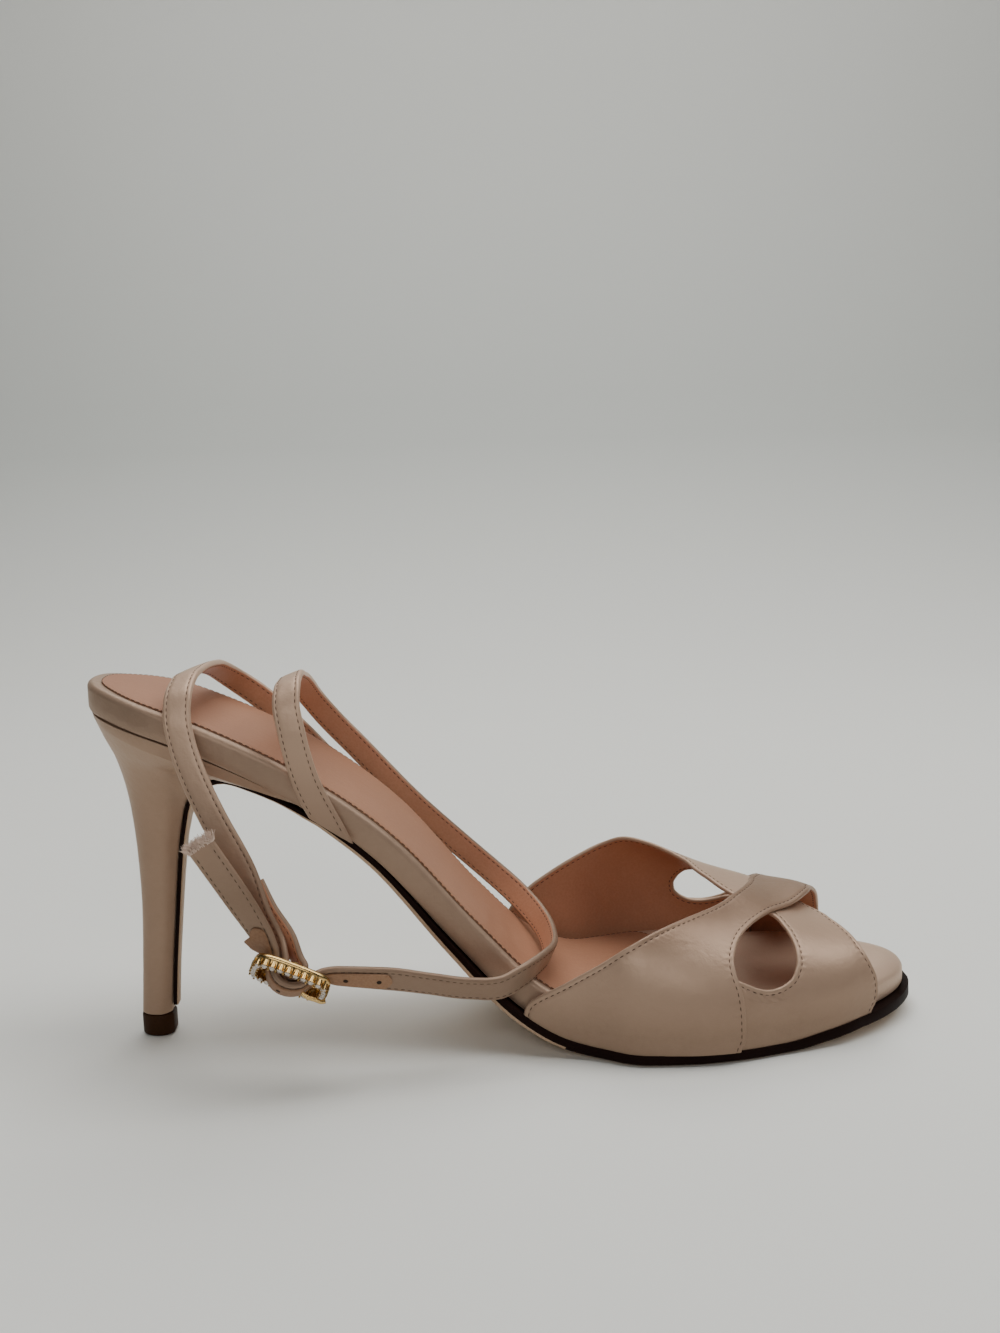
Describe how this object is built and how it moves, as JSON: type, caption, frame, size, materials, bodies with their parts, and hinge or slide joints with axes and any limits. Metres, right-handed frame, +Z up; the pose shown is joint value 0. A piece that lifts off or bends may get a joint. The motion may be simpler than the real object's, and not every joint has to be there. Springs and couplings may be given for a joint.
{
  "type": "slingback heel",
  "caption": "Right slingback sandal: crossing satin bands over an open toe, slim high heel, and ankle straps that meet in a small gold buckle on the outer side.",
  "frame": {"origin": "middle of the shoe's box, on the floor", "axes": "+X from heel to toe, +Y to the inner side of the foot, +Z up from the floor"},
  "size_m": [0.217, 0.0886, 0.102],
  "materials": {
    "satin": "champagne satin with a broad soft sheen",
    "lining": "smooth peach leather",
    "edge": "dark brown painted edge",
    "patch": "brown leather",
    "gold": "polished gold plate"
  },
  "bodies": {
    "root": {"footbed": "satin", "sock": "lining", "outsole": "edge", "heel": "satin", "heel_tip": "edge", "upper": "satin", "strap_long": "satin", "strap_short": "satin", "hole_patch": "patch", "buckle_frame": "gold", "buckle_prong": "gold"}
  },
  "joints": []
}
